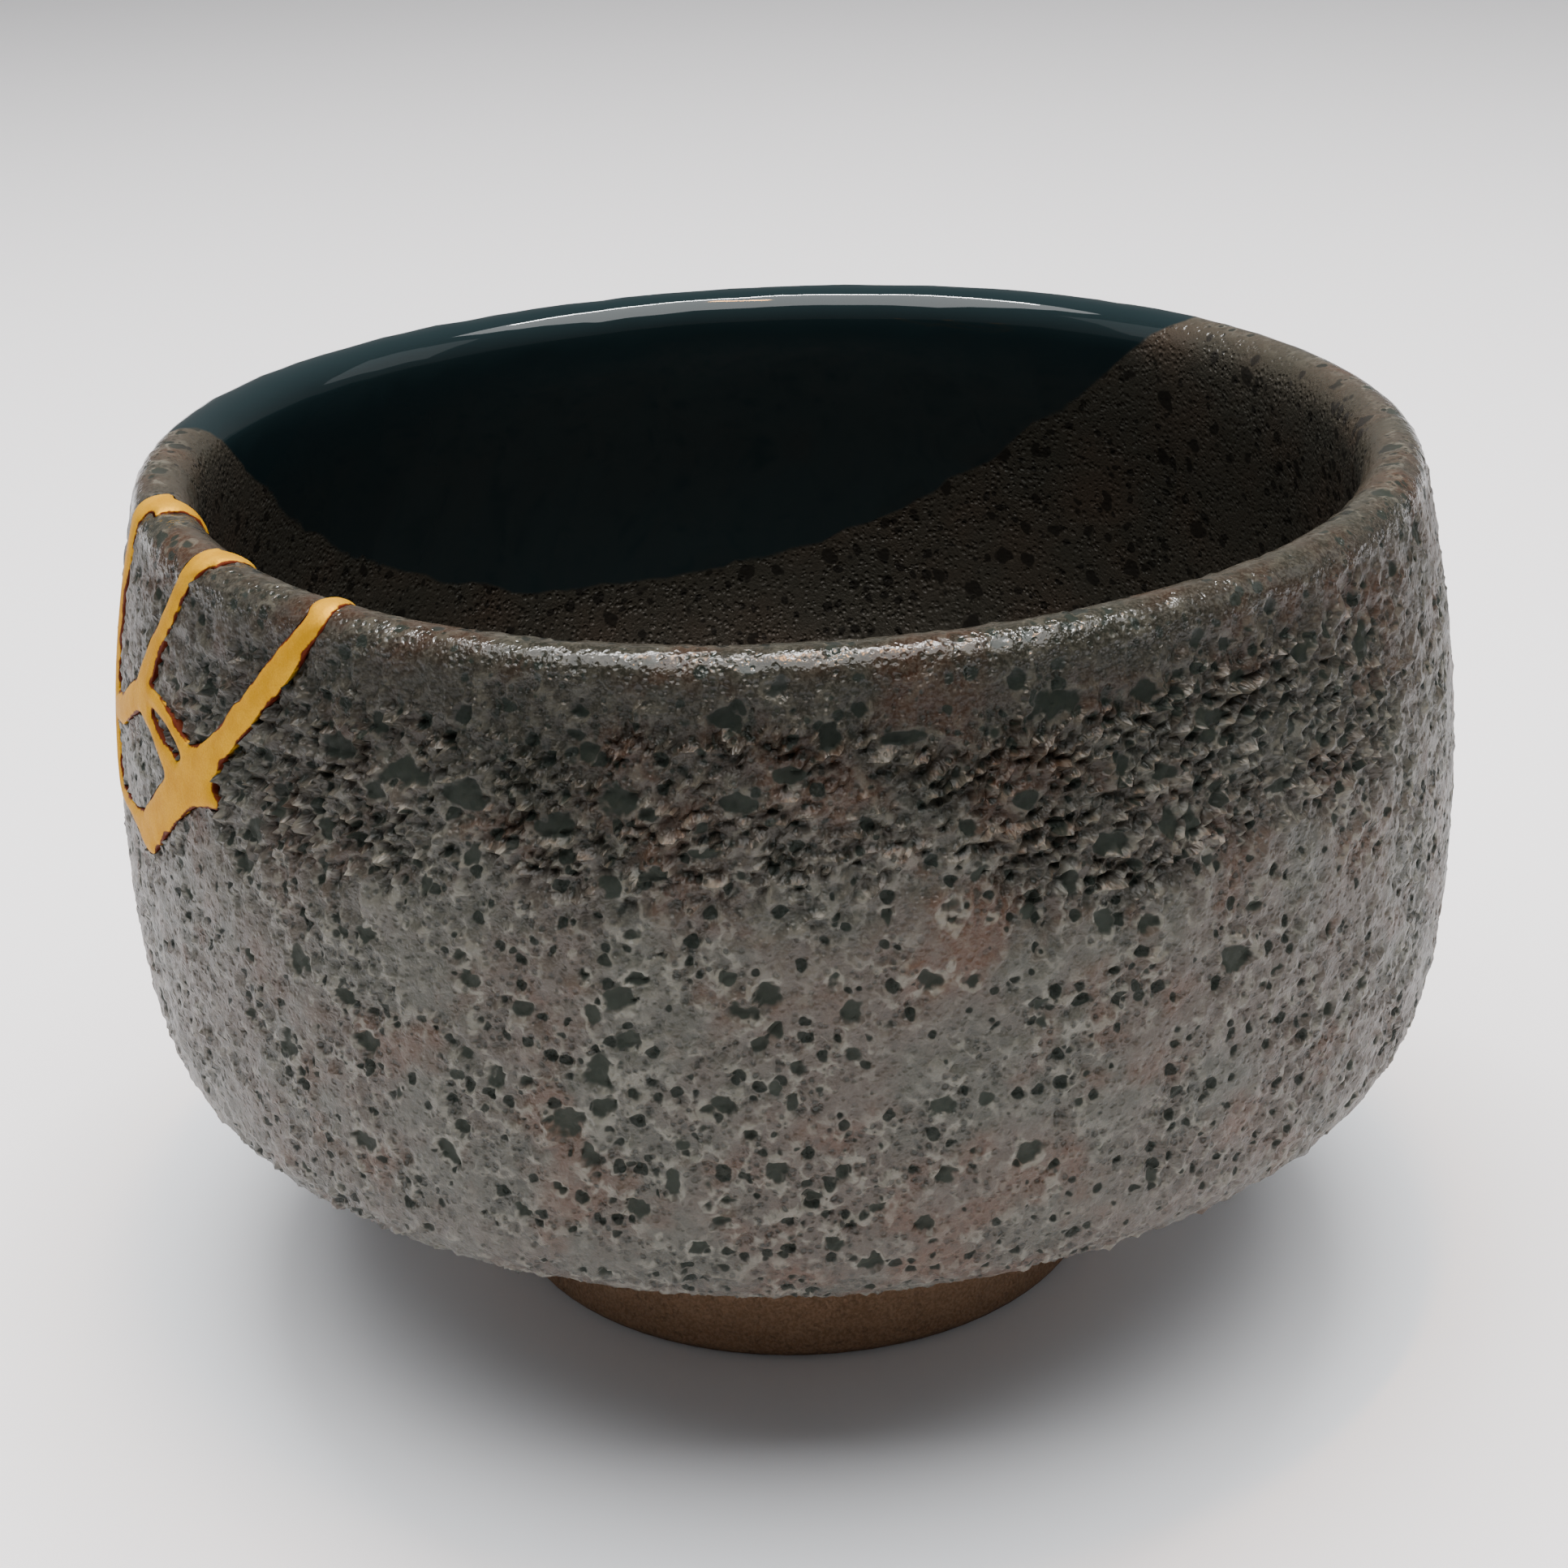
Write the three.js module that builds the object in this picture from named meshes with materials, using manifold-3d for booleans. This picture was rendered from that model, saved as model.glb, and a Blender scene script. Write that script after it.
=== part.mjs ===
// Kintsugi tea bowl: a thrown stoneware bowl, four fragments of its broken rim, and the gold-on-lacquer
// seams that join them. Millimetres, +Z up, the origin at the centre of the foot's underside.
import * as THREE from 'three';
import { ConvexGeometry } from 'three/addons/geometries/ConvexGeometry.js';
import { mergeVertices } from 'three/addons/utils/BufferGeometryUtils.js';
import Module from 'manifold-3d';

const wasm = await Module();
wasm.setup();

// ---- driving dimensions ----------------------------------------------------------------------

const FOOT_RADIUS = 29.3; // outside of the foot ring
const FOOT_HEIGHT = 9.5; // from the ground to where the wall leaves the foot
const FOOT_WIDTH = 6; // width of the ring that the bowl stands on
const FOOT_BEVEL = 0.7; // worn edges of the foot ring
const FOOT_RECESS = 5; // depth of the hollow inside the foot ring

const HIP_RADIUS = 54.6; // where the cone of the underside starts to turn up into the wall
const HIP_HEIGHT = 23.85;
const HIP_SLOPE = 36; // degrees, steepness of the underside at the hip
const BELLY_RADIUS = 61; // widest point of the bowl
const BELLY_HEIGHT = 46.5;
const SHOULDER_RADIUS = 56.9; // where the wall meets the rounded lip
const SHOULDER_HEIGHT = 77.5;
const SHOULDER_LEAN = 16.4; // degrees, how far the wall leans inwards there
const LIP_OUTER_ROUND = 2.6; // radius of the lip's outer half
const LIP_INNER_ROUND = 3.1; // radius of the lip's inner half
const HIP_CURVE = 3.8; // how far each curve of the outside holds its direction
const BELLY_CURVE_BELOW = 21;
const BELLY_CURVE_ABOVE = 12.4;
const SHOULDER_CURVE = 5.9;

const INSIDE_RADIUS = 55.1; // widest point of the hollow
const INSIDE_HEIGHT = 46;
const FLOOR_HEIGHT = 13; // lowest point of the hollow
const LIP_CURVE = 8; // how far each curve of the inside holds its direction
const INSIDE_CURVE_ABOVE = 14;
const INSIDE_CURVE_BELOW = 25;
const FLOOR_CURVE = 30;

// The rim rises and falls a little, as thrown rims do: waves round the axis, growing up the wall.
const RIM_WAVES = [
  { lobes: 2, height: 0.2 },
  { lobes: 3, height: -0.17 },
];
const WAVE_START = 20;

const TURN_STEPS = 60; // facets round the axis

// ---- the mend --------------------------------------------------------------------------------

const JOINT_GAP = 0.3; // clearance between the gold and the pottery on each side
const GOLD_PROUD = 0.25; // how far the gold stands out of the surface
const GOLD_DEPTH = 1.2; // how deep the gold line is let into the surface
const CRACK_WIDTH = 1.1; // lacquer-filled crack through the middle of the wall
const INSIDE_LINE = 0.8; // width of a line inside, as a share of its width outside
const CRACK_SKEW = 3; // degrees that a crack drifts round the axis on its way through the wall
const ABOVE_RIM = 84; // cutting height clear of the rim

// Stations of each seam on the outside: [degrees round the axis, height, line width].
const NODE_LEFT = [192.5, 60.3, 2.8];
const NODE_MIDDLE = [205.2, 65.7, 3.4];
const BLOB = [217.5, 62.7, 5.8];
const BLOB_LOW = [214.8, 60.8, 4.6];
const LEG_END = [207.4, 54.2, 4.4];
const SEAMS = {
  farLeft: [[197, ABOVE_RIM, 2.8], [196.8, 76, 2.8], [194.8, 70, 2.4], NODE_LEFT],
  middle: [[213.8, ABOVE_RIM, 2.6], [213.4, 78, 2.3], [211, 74.2, 2.2], NODE_MIDDLE],
  right: [[231.2, ABOVE_RIM, 2.4], [230.9, 78, 2.3], [227.6, 73.7, 2.9], [220.4, 65.8, 2.9], BLOB],
  crossing: [NODE_MIDDLE, [197.6, 61.6, 3.1], NODE_LEFT],
  fineLower: [NODE_MIDDLE, [209.6, 63.8, 1.8], BLOB_LOW],
  fineUpper: [[206, 66.8, 2.4], [210, 66.3, 1.7], [215, 64.6, 1.6], BLOB],
  leg: [BLOB, BLOB_LOW, LEG_END],
  spur: [BLOB, [220, 61.4, 1.4]],
  lowerLeft: [LEG_END, [203, 54.3, 2], [196, 54.4, 1.8], NODE_LEFT],
};
const STATION_SIDES = 6;

// The middle of each piece of pottery: [radius, degrees round the axis, height].
const POTTERY = {
  bowl_body: [0, 0, 40],
  rim_sherd_left: [56, 205, 71],
  rim_sherd_right: [56, 220, 72],
  wall_sherd: [58, 202, 58],
  chip: [58, 211, 64],
};

// ---- materials -------------------------------------------------------------------------------

const glaze = () => new THREE.MeshStandardMaterial({ color: 0x5f5854, roughness: 0.55, metalness: 0.1 });
const gold = () => new THREE.MeshStandardMaterial({ color: 0xc79a3c, roughness: 0.38, metalness: 0.85 });

// ---- helpers ---------------------------------------------------------------------------------

const radians = THREE.MathUtils.degToRad;

const direction = (degrees) => new THREE.Vector2(Math.cos(radians(degrees)), Math.sin(radians(degrees)));

const along = (from, degrees, length) => from.clone().addScaledVector(direction(degrees), length);

function bezier(from, handleA, handleB, to, steps) {
  return new THREE.CubicBezierCurve(from, handleA, handleB, to).getPoints(steps);
}

function arc(centre, radius, startDegrees, endDegrees, steps) {
  const points = [];
  for (let i = 0; i <= steps; i += 1) {
    points.push(along(centre, THREE.MathUtils.lerp(startDegrees, endDegrees, i / steps), radius));
  }
  return points;
}

// Joins runs of points whose ends coincide.
function chain(...runs) {
  return runs.flatMap((run, i) => (i === 0 ? run : run.slice(1)));
}

function toSolid(geometry) {
  const bare = geometry.clone();
  bare.deleteAttribute('normal');
  bare.deleteAttribute('uv');
  const merged = mergeVertices(bare, 1e-4);
  const triVerts = [];
  for (let i = 0; i < merged.index.count; i += 3) {
    const [a, b, c] = [0, 1, 2].map((corner) => merged.index.getX(i + corner));
    if (a !== b && b !== c && c !== a) {
      triVerts.push(a, b, c);
    }
  }
  return new wasm.Manifold(new wasm.Mesh({
    numProp: 3,
    vertProperties: new Float32Array(merged.attributes.position.array),
    triVerts: new Uint32Array(triVerts),
  }));
}

function toMesh(solid, name, material) {
  const { vertProperties, triVerts, numProp } = solid.getMesh();
  if (numProp !== 3) {
    throw new Error(`${name} has more than positions`);
  }
  const geometry = new THREE.BufferGeometry();
  geometry.setAttribute('position', new THREE.BufferAttribute(vertProperties, 3));
  geometry.setIndex(new THREE.BufferAttribute(triVerts, 1));
  geometry.computeVertexNormals();
  const mesh = new THREE.Mesh(geometry, material);
  mesh.name = name;
  return mesh;
}

// ---- the thrown form -------------------------------------------------------------------------

const shoulder = new THREE.Vector2(SHOULDER_RADIUS, SHOULDER_HEIGHT);
const lipCentre = along(shoulder, SHOULDER_LEAN + 180, LIP_OUTER_ROUND);
const crest = along(lipCentre, 90, LIP_OUTER_ROUND);

// Outside, from the foot up to the crest of the lip.
function outsideProfile() {
  const wallStart = new THREE.Vector2(FOOT_RADIUS, FOOT_HEIGHT);
  const hip = new THREE.Vector2(HIP_RADIUS, HIP_HEIGHT);
  const belly = new THREE.Vector2(BELLY_RADIUS, BELLY_HEIGHT);
  const cone = hip.clone().sub(wallStart);
  const coneSlope = THREE.MathUtils.radToDeg(cone.angle());
  const third = cone.length() / 3;
  const underside = bezier(wallStart, along(wallStart, 2 * coneSlope - HIP_SLOPE, third),
    along(hip, HIP_SLOPE + 180, third), hip, 3);
  const turnUp = bezier(hip, along(hip, HIP_SLOPE, HIP_CURVE),
    along(belly, -90, BELLY_CURVE_BELOW), belly, 8);
  const wall = bezier(belly, along(belly, 90, BELLY_CURVE_ABOVE),
    along(shoulder, SHOULDER_LEAN - 90, SHOULDER_CURVE), shoulder, 4);
  return chain(underside, turnUp, wall, arc(lipCentre, LIP_OUTER_ROUND, SHOULDER_LEAN, 90, 3));
}

// Inside, from the crest of the lip down to the middle of the floor.
function insideProfile() {
  const lip = arc(along(crest, -90, LIP_INNER_ROUND), LIP_INNER_ROUND, 90, 180, 3);
  const lipEnd = lip[lip.length - 1];
  const widest = new THREE.Vector2(INSIDE_RADIUS, INSIDE_HEIGHT);
  const floor = new THREE.Vector2(0, FLOOR_HEIGHT);
  const wall = bezier(lipEnd, along(lipEnd, -90, LIP_CURVE),
    along(widest, 90, INSIDE_CURVE_ABOVE), widest, 3);
  const hollow = bezier(widest, along(widest, -90, INSIDE_CURVE_BELOW),
    along(floor, 0, FLOOR_CURVE), floor, 8);
  return chain(lip, wall, hollow);
}

function footProfile() {
  const inner = FOOT_RADIUS - FOOT_WIDTH;
  return [
    new THREE.Vector2(0, FOOT_RECESS),
    new THREE.Vector2(inner - FOOT_BEVEL, FOOT_RECESS),
    new THREE.Vector2(inner, FOOT_BEVEL),
    new THREE.Vector2(inner + FOOT_BEVEL, 0),
    new THREE.Vector2(FOOT_RADIUS - FOOT_BEVEL, 0),
    new THREE.Vector2(FOOT_RADIUS, FOOT_BEVEL),
  ];
}

// Moves a profile outwards along its own normals.
function swell(points, distance) {
  return points.map((point, i) => {
    const before = points[Math.max(i - 1, 0)];
    const after = points[Math.min(i + 1, points.length - 1)];
    const run = after.clone().sub(before).normalize();
    return new THREE.Vector2(Math.max(point.x + run.y * distance, 0), point.y - run.x * distance);
  });
}

function waveAt(angle, height) {
  const grow = Math.max((height - WAVE_START) / (SHOULDER_HEIGHT - WAVE_START), 0) ** 1.5;
  return RIM_WAVES.reduce((sum, wave) => sum + wave.height * Math.cos(wave.lobes * angle), 0) * grow;
}

function turned(profile) {
  const geometry = new THREE.LatheGeometry(profile, TURN_STEPS);
  geometry.rotateX(Math.PI / 2);
  const position = geometry.attributes.position;
  for (let i = 0; i < position.count; i += 1) {
    const angle = Math.atan2(position.getY(i), position.getX(i));
    position.setZ(i, position.getZ(i) + waveAt(angle, position.getZ(i)));
  }
  return toSolid(geometry);
}

// ---- seams -----------------------------------------------------------------------------------

const outside = outsideProfile();
const inside = insideProfile();

// Radius of a profile's wall at a height, between its two nearest points.
function radiusAt(profile, height) {
  for (let i = 0; i + 1 < profile.length; i += 1) {
    const [a, b] = [profile[i], profile[i + 1]];
    if ((a.y - height) * (b.y - height) <= 0 && a.y !== b.y) {
      return THREE.MathUtils.mapLinear(height, a.y, b.y, a.x, b.x);
    }
  }
  return crest.x;
}

// A ring of points round a station, square to the wall, at a radius.
function ring([degrees, height], width, radius, turn) {
  const angle = radians(degrees + turn);
  const points = [];
  for (let i = 0; i < STATION_SIDES; i += 1) {
    const spin = ((i + 0.5) / STATION_SIDES) * 2 * Math.PI;
    const sideways = (Math.cos(spin) * width) / 2;
    points.push(new THREE.Vector3(
      radius * Math.cos(angle) - sideways * Math.sin(angle),
      radius * Math.sin(angle) + sideways * Math.cos(angle),
      height + (Math.sin(spin) * width) / 2,
    ));
  }
  return points;
}

// One layer of a seam: a run of convex blocks from station to station, between two depths.
function layer(stations, width, lowDepth, highDepth) {
  const rings = stations.map((station) => [lowDepth, highDepth].flatMap((depth) => {
    const { radius, turn } = depth(station);
    return ring(station, width(station), radius, turn);
  }));
  return rings.slice(1).map((points, i) => toSolid(new ConvexGeometry([...rings[i], ...points])));
}

const CLEAR = 3; // reach of a seam's blocks beyond the wall
const outer = (depth) => ([, height]) => ({ radius: radiusAt(outside, height) - depth, turn: 0 });
const inner = (depth) => ([, height]) => ({ radius: radiusAt(inside, height) + depth, turn: CRACK_SKEW });

// All seams: a gold line let into both faces of the wall, a thin crack between the two, and a cap of
// gold over the lip where a seam crosses it.
function seamBlocks(grow) {
  const blocks = Object.values(SEAMS).flatMap((stations) => {
    const [degrees, top, lipWidth] = stations[0];
    const overLip = top === ABOVE_RIM ? [[degrees, crest.y, lipWidth], stations[0]] : [];
    const line = ([, , width]) => width + grow;
    const insideLine = ([, , width]) => width * INSIDE_LINE + grow;
    const crack = () => CRACK_WIDTH + grow;
    const depth = GOLD_DEPTH + grow / 2;
    return [
      ...layer(overLip, line, inner(-CLEAR), outer(-CLEAR)),
      ...layer(stations, line, outer(depth), outer(-CLEAR)),
      ...layer(stations, insideLine, inner(-CLEAR), inner(depth)),
      ...layer(stations, crack, inner(-CLEAR), outer(-CLEAR)),
    ];
  });
  return blocks.reduce((whole, block) => whole.add(block));
}

// ---- assembly --------------------------------------------------------------------------------

const footEdge = new THREE.Vector2(FOOT_RADIUS, FOOT_BEVEL);
const section = chain(footProfile(), [footEdge, ...outside], inside);

function middleOf(solid) {
  const { min, max } = solid.boundingBox();
  return new THREE.Vector3(...min).add(new THREE.Vector3(...max)).multiplyScalar(0.5);
}

const bowl = new THREE.Group();

const pottery = turned(section).subtract(seamBlocks(JOINT_GAP)).decompose();
for (const [name, [radius, degrees, height]] of Object.entries(POTTERY)) {
  const flat = direction(degrees).multiplyScalar(radius);
  const place = new THREE.Vector3(flat.x, flat.y, height);
  const distance = (solid) => middleOf(solid).distanceTo(place);
  const nearest = pottery.reduce((best, solid) => (distance(solid) < distance(best) ? solid : best));
  bowl.add(toMesh(nearest, name, glaze()));
}

const mend = turned(swell(section, GOLD_PROUD)).intersect(seamBlocks(-JOINT_GAP));
bowl.add(toMesh(mend, 'gold_seams', gold()));

export default bowl;
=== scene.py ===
import math

import bmesh
import bpy
import numpy as np
from mathutils import Matrix, Vector, kdtree, noise


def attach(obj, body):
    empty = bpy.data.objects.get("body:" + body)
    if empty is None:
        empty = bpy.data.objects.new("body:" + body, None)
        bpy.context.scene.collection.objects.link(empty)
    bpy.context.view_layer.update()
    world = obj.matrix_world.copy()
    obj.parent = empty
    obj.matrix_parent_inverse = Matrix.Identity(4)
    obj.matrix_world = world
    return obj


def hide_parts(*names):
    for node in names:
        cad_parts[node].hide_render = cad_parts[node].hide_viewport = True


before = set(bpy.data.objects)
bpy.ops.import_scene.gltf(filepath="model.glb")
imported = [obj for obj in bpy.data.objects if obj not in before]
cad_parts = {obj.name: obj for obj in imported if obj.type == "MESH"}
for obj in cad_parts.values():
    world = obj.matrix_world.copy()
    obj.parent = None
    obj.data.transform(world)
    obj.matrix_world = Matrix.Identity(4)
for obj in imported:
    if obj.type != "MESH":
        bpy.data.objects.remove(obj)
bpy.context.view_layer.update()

MM = 0.001

# ---- sizes -------------------------------------------------------------------------------------

FOOT_RADIUS, FOOT_HEIGHT, FOOT_WIDTH, FOOT_BEVEL, FOOT_RECESS = 29.3, 9.5, 6.0, 0.7, 5.0
HIP, HIP_SLOPE, HIP_CURVE = (54.6, 23.85), 36.0, 3.8
BELLY, BELLY_CURVE_BELOW, BELLY_CURVE_ABOVE = (61.0, 46.5), 21.0, 12.4
SHOULDER, SHOULDER_LEAN, SHOULDER_CURVE = (56.9, 77.5), 16.4, 5.9
LIP_OUTER_ROUND, LIP_INNER_ROUND, LIP_CURVE = 2.6, 3.1, 8.0
INSIDE, INSIDE_CURVE_BELOW, INSIDE_CURVE_ABOVE = (55.1, 46.0), 25.0, 14.0
FLOOR_HEIGHT, FLOOR_CURVE = 13.0, 30.0
RIM_WAVES, WAVE_START = ((2, 0.2), (3, -0.17)), 20.0
SKIN_SET_IN = 0.08  # the skin starts this far in, which leaves room for its raised rims

OUTSIDE_STEP, INSIDE_STEP = 0.42, 1.2  # spacing of the fine mesh's rows
FRONT_COLUMNS, BACK_COLUMNS = 460, 170  # over the half turn that the mend is on, and over the rest
FACES = {"bowl_body": 190000, "rim_sherd_left": 24000, "rim_sherd_right": 24000, "wall_sherd": 24000,
         "chip": 8000, "gold_seams": 90000}

GOLD_PROUD, GOLD_DEPTH, CRACK_WIDTH, INSIDE_LINE, CRACK_SKEW = 0.25, 1.2, 1.1, 0.8, 3.0
ABOVE_RIM, CLEAR = 84.0, 3.0
NODE_LEFT, NODE_MIDDLE = (192.5, 60.3, 2.8), (205.2, 65.7, 3.4)
BLOB, BLOB_LOW, LEG_END = (217.5, 62.7, 5.8), (214.8, 60.8, 4.6), (207.4, 54.2, 4.4)
# Stations of each seam on the outside: degrees round the axis, height, line width.
SEAMS = {
    "far_left": [(197, ABOVE_RIM, 2.8), (196.8, 76, 2.8), (194.8, 70, 2.4), NODE_LEFT],
    "middle": [(213.8, ABOVE_RIM, 2.6), (213.4, 78, 2.3), (211, 74.2, 2.2), NODE_MIDDLE],
    "right": [(231.2, ABOVE_RIM, 2.4), (230.9, 78, 2.3), (227.6, 73.7, 2.9), (220.4, 65.8, 2.9), BLOB],
    "crossing": [NODE_MIDDLE, (197.6, 61.6, 3.1), NODE_LEFT],
    "fine_lower": [NODE_MIDDLE, (209.6, 63.8, 1.8), BLOB_LOW],
    "fine_upper": [(206, 66.8, 2.4), (210, 66.3, 1.7), (215, 64.6, 1.6), BLOB],
    "leg": [BLOB, BLOB_LOW, LEG_END],
    "spur": [BLOB, (220, 61.4, 1.4)],
    "lower_left": [LEG_END, (203, 54.3, 2), (196, 54.4, 1.8), NODE_LEFT],
}
LIP_SKEW = {"far_left": 3.0, "middle": 2.0, "right": -0.7}  # how far a seam turns in crossing the lip
LINE_FULLNESS = 0.87  # the drawn line's width as a share of its stations' width
SEAM_GAP = 0.07  # between gold and pottery
SEAM_VOXEL = 0.24
RING_SIDES = 14

DIP_DEGREES, DIP_SLOPE, DIP_LEVEL = 107.0, 0.935, 98.3  # the slanting plane that the bowl was dipped to
BARE_HEIGHT = 10.2  # the glaze stops here, just above the foot
BAND_MIDDLE, BAND_FLATTENING = 65.0, 0.55  # the crusty band below the rim, and how far its dimples are flattened
CRUST_SIZE, CRUST_LEVEL = 1.25, 0.42  # a dimple's width, and how much of the crust's swell lies below the skin

# Broad dark hollows in the glaze: degrees round the axis, height, width and height across.
SPOTS = [
    (254.6, 74.8, 1.9, 1.1), (265.5, 74.7, 2.9, 1.6), (269.3, 76.8, 1.8, 2.2), (275.2, 75, 1.3, 1.6),
    (287.1, 75.9, 1.8, 1.9), (302.4, 76.1, 1.9, 1.9), (305.1, 75.3, 1.4, 1.3), (238.1, 72, 1.8, 2.1),
    (245.6, 73.8, 1.8, 1.6), (255.3, 71.7, 2.4, 2.5), (270, 70.4, 2.9, 1.6), (272.9, 73.2, 2, 2.5),
    (278.4, 72.7, 5, 1.1), (289.8, 73.7, 4.5, 2.3), (297.5, 73.4, 3.3, 1.7), (300.5, 74, 1.6, 1.1),
    (302.8, 70.1, 3.6, 1.9), (306.4, 72.6, 1.5, 1.3), (313.2, 72.6, 2.5, 2), (316.5, 73.9, 1.5, 1.5),
    (321.8, 70.8, 2.8, 3.6), (234.5, 69.7, 3.5, 3.1), (238, 66.8, 1.8, 1.4), (240.8, 68.7, 4.6, 2.8),
    (246.1, 67.9, 3.9, 2.6), (253.1, 66.4, 3.6, 2.3), (257.7, 68.4, 3.3, 2.5), (259.8, 67.7, 1.8, 1.4),
    (266.4, 68.7, 3.1, 2.1), (287, 67.1, 2.2, 1.7), (298.5, 67, 2.4, 1.5), (302.5, 68.8, 2.2, 1.5),
    (310.8, 69.7, 2.4, 1.3), (311.2, 67.1, 1.7, 1.6), (228.4, 62.9, 1.9, 2.3), (233.3, 62.9, 1.7, 2),
    (246.6, 63.3, 1.6, 1.9), (253.5, 64.1, 1.9, 1.4), (257.1, 62, 2.2, 2.2), (260.3, 63.2, 2.8, 1.4),
    (263.9, 64.8, 2.9, 0.9), (282.8, 65.5, 2.1, 1.9), (283.3, 62.2, 1.5, 1.5), (293.5, 62.6, 4.2, 1.8),
    (298.6, 63, 2.4, 3.1), (300.6, 62.5, 1.4, 2.7), (303.1, 64.7, 2.3, 1.3), (309.5, 63.1, 3, 1.4),
    (314.5, 65.3, 1.5, 1.4), (317.4, 64.1, 1.7, 1.4), (225.3, 60.5, 3, 2.3), (233.1, 59.6, 1.4, 1.5),
    (242.7, 60.5, 1.4, 2), (258.6, 58.5, 2.2, 1.3), (276.4, 59.4, 1.4, 1.7), (281.2, 59.4, 1.9, 2.2),
    (286.8, 58.6, 2, 1.3), (290.1, 60, 1.6, 2.7), (302, 59.3, 1.7, 1.4), (224, 57.5, 2.7, 2.1),
    (234.9, 54.8, 1.7, 1.3), (237, 55.3, 2.6, 1.6), (259, 55.1, 1.8, 1.2), (265.4, 55.4, 1.8, 1.2),
    (268, 54, 2.1, 2.1), (272.6, 55, 1.2, 1.7), (279.2, 54.2, 2.2, 1.9), (292.5, 56.6, 2.2, 2.3),
    (296.2, 55.7, 2.1, 1.8), (305.9, 54.3, 1.9, 1.2), (230.2, 51.3, 2.3, 3), (246, 53.4, 1.9, 2.1),
    (250.2, 51.8, 2.1, 1.8), (255.6, 51.7, 1.5, 2.4), (257.4, 53.3, 3, 2.4), (266.3, 52.7, 2.9, 1.8),
    (268.6, 51.3, 1.4, 1.6), (273.7, 52.6, 2.2, 2.4), (282.3, 53.9, 1.7, 1.4), (287.5, 51.1, 2, 1.4),
    (304.2, 50.5, 3.5, 2.7), (234.8, 49.3, 2.1, 1.7), (255.7, 47.1, 2.7, 3.8), (258, 49.9, 2.6, 1.6),
    (267.2, 50, 1.8, 1.4), (268.3, 46.2, 1.3, 1.4), (269.9, 48, 1.6, 1.8), (273.8, 49, 1.8, 1.8),
    (308.2, 48.1, 2.1, 1), (227.8, 42.7, 2.6, 2.8), (236.6, 45.9, 3, 2), (244.5, 45, 1.7, 1.4),
    (247.8, 45.6, 1.6, 2.5), (250.2, 45.7, 1.3, 1.4), (253.1, 42.4, 3.3, 2.8), (255.8, 44.1, 2.2, 2.2),
    (264.3, 44.9, 2.4, 2.1), (266.3, 42.3, 1.6, 1.5), (269.4, 44.9, 1.1, 2.1), (280.1, 43.9, 2.3, 1.9),
    (283.3, 43.6, 1.4, 1.7), (244.5, 40.4, 2.3, 1.5), (254.7, 39.7, 2, 2.7), (261.7, 41.2, 1.5, 1.7),
    (268.2, 39, 1.7, 2.6), (286.5, 38.4, 2.9, 2.2), (234.8, 36.5, 3, 2.3), (243.4, 37.6, 1.8, 2.4),
    (257.8, 35.1, 1.8, 1.9), (260.7, 37.9, 1.5, 2.7), (264.2, 34.2, 1.9, 1.4), (264.7, 36.3, 1.9, 1.1),
    (270.8, 36.6, 2, 1.6), (275.3, 35.1, 1.7, 1.4), (280.5, 37.6, 2.3, 1.6), (262.1, 31.6, 2.1, 1.6),
    (272.3, 31.9, 1.9, 1.5), (274.8, 29.6, 2.3, 2),
]

# The middle of each small piece of pottery: radius, degrees round the axis, height.
SHERDS = {
    "rim_sherd_left": (56, 205, 71),
    "rim_sherd_right": (56, 220, 72),
    "wall_sherd": (58, 202, 58),
    "chip": (58, 211, 64),
}


# ---- the section -------------------------------------------------------------------------------


def unit(degrees):
    angle = math.radians(degrees)
    return np.array([math.cos(angle), math.sin(angle)])


def bezier(start, handle_a, handle_b, end, steps=160):
    t = np.linspace(0, 1, steps + 1)[:, None]
    a, b, c, d = (np.asarray(p, float) for p in (start, handle_a, handle_b, end))
    return (1 - t) ** 3 * a + 3 * (1 - t) ** 2 * t * b + 3 * (1 - t) * t ** 2 * c + t ** 3 * d


def arc(centre, radius, start, end, steps=60):
    return np.array([centre + radius * unit(a) for a in np.linspace(start, end, steps + 1)])


LIP_CENTRE = np.array(SHOULDER) - LIP_OUTER_ROUND * unit(SHOULDER_LEAN)
CREST = LIP_CENTRE + (0, LIP_OUTER_ROUND)


def outside_profile():
    start, hip, belly, shoulder = (np.array(p) for p in ((FOOT_RADIUS, FOOT_HEIGHT), HIP, BELLY, SHOULDER))
    cone = hip - start
    slope = math.degrees(math.atan2(cone[1], cone[0]))
    third = np.linalg.norm(cone) / 3
    under = bezier(start, start + third * unit(2 * slope - HIP_SLOPE), hip - third * unit(HIP_SLOPE), hip)
    turn = bezier(hip, hip + HIP_CURVE * unit(HIP_SLOPE), belly - (0, BELLY_CURVE_BELOW), belly)
    lean = SHOULDER_CURVE * unit(SHOULDER_LEAN - 90)
    wall = bezier(belly, belly + (0, BELLY_CURVE_ABOVE), shoulder + lean, shoulder)
    lip = arc(LIP_CENTRE, LIP_OUTER_ROUND, SHOULDER_LEAN, 90)
    return np.concatenate([under, turn[1:], wall[1:], lip[1:]])


def inside_profile():
    lip = arc(CREST - (0, LIP_INNER_ROUND), LIP_INNER_ROUND, 90, 180)
    end, widest, floor = lip[-1], np.array(INSIDE), np.array([0, FLOOR_HEIGHT])
    wall = bezier(end, end - (0, LIP_CURVE), widest + (0, INSIDE_CURVE_ABOVE), widest)
    hollow = bezier(widest, widest - (0, INSIDE_CURVE_BELOW), floor + (FLOOR_CURVE, 0), floor)
    return np.concatenate([lip, wall[1:], hollow[1:]])


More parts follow.
